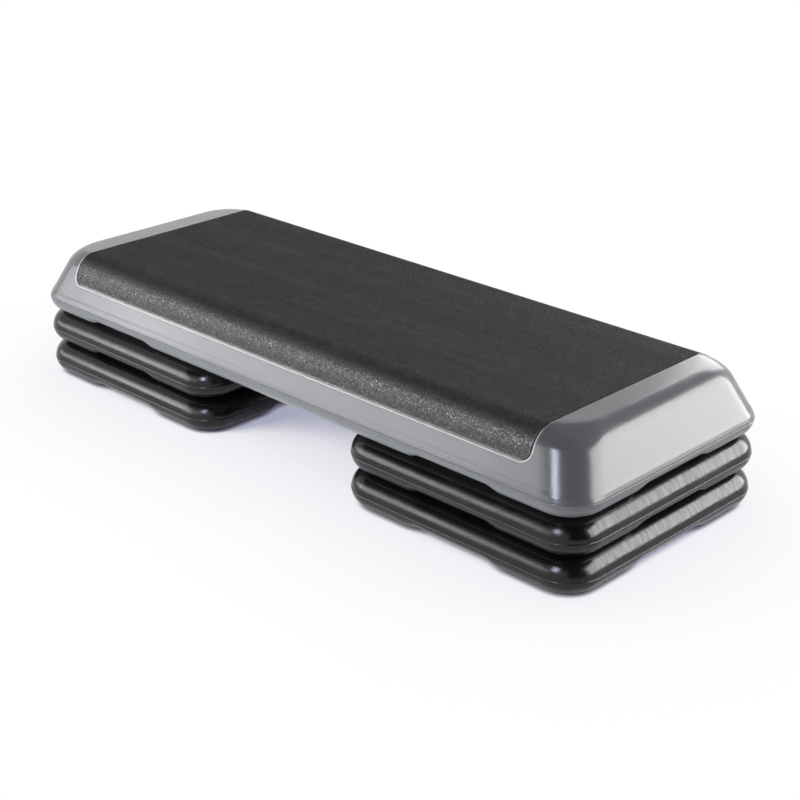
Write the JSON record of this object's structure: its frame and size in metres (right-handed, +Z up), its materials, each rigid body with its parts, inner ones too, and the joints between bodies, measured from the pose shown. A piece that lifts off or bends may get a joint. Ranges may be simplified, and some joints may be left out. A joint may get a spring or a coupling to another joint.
{
  "type": "aerobic step",
  "caption": "Aerobic step: a long hollow grey deck with a black rubber tread bent over its edges, standing at each end on stacked square black risers.",
  "frame": {"origin": "on the floor, under the centre of the deck", "axes": "+X along the deck's length, +Y across its width, +Z up"},
  "size_m": [1.08, 0.41, 0.2019],
  "materials": {
    "grey_polyethylene": "satin moulded",
    "pebbled_rubber": "fine pebble grain",
    "black_polyethylene": "satin moulded, slightly mottled",
    "foot_rubber": "matte"
  },
  "bodies": {
    "left_lower_riser": {"left_lower_riser_shell": "black_polyethylene", "left_lower_riser_foot_front_left": "foot_rubber", "left_lower_riser_foot_front_right": "foot_rubber", "left_lower_riser_foot_back_left": "foot_rubber", "left_lower_riser_foot_back_right": "foot_rubber"},
    "left_upper_riser": {"left_upper_riser_shell": "black_polyethylene", "left_upper_riser_foot_front_left": "foot_rubber", "left_upper_riser_foot_front_right": "foot_rubber", "left_upper_riser_foot_back_left": "foot_rubber", "left_upper_riser_foot_back_right": "foot_rubber"},
    "deck": {"deck_shell": "grey_polyethylene", "tread": "pebbled_rubber", "deck_foot_front_left": "foot_rubber", "deck_foot_front_right": "foot_rubber", "deck_foot_back_left": "foot_rubber", "deck_foot_back_right": "foot_rubber"},
    "right_upper_riser": {"right_upper_riser_shell": "black_polyethylene", "right_upper_riser_foot_front_left": "foot_rubber", "right_upper_riser_foot_front_right": "foot_rubber", "right_upper_riser_foot_back_left": "foot_rubber", "right_upper_riser_foot_back_right": "foot_rubber"},
    "right_lower_riser": {"right_lower_riser_shell": "black_polyethylene", "right_lower_riser_foot_front_left": "foot_rubber", "right_lower_riser_foot_front_right": "foot_rubber", "right_lower_riser_foot_back_left": "foot_rubber", "right_lower_riser_foot_back_right": "foot_rubber"}
  },
  "joints": [
    {"name": "upper_level_lift", "type": "slide", "parent": "left_lower_riser", "child": "left_upper_riser", "axis": [0, 0, 1], "range_m": [0, 0.08]},
    {"name": "deck_lift", "type": "slide", "parent": "left_upper_riser", "child": "deck", "axis": [0, 0, 1], "range_m": [0, 0.08]},
    {"name": "right_upper_riser_settle", "type": "slide", "parent": "deck", "child": "right_upper_riser", "axis": [0, 0, -1], "range_m": [0, 0.08]},
    {"name": "right_lower_riser_settle", "type": "slide", "parent": "right_upper_riser", "child": "right_lower_riser", "axis": [0, 0, -1], "range_m": [0, 0.08]}
  ],
  "couplings": [
    {"joint": "right_upper_riser_settle", "follows": "deck_lift", "ratio": 1},
    {"joint": "right_lower_riser_settle", "follows": "upper_level_lift", "ratio": 1}
  ]
}
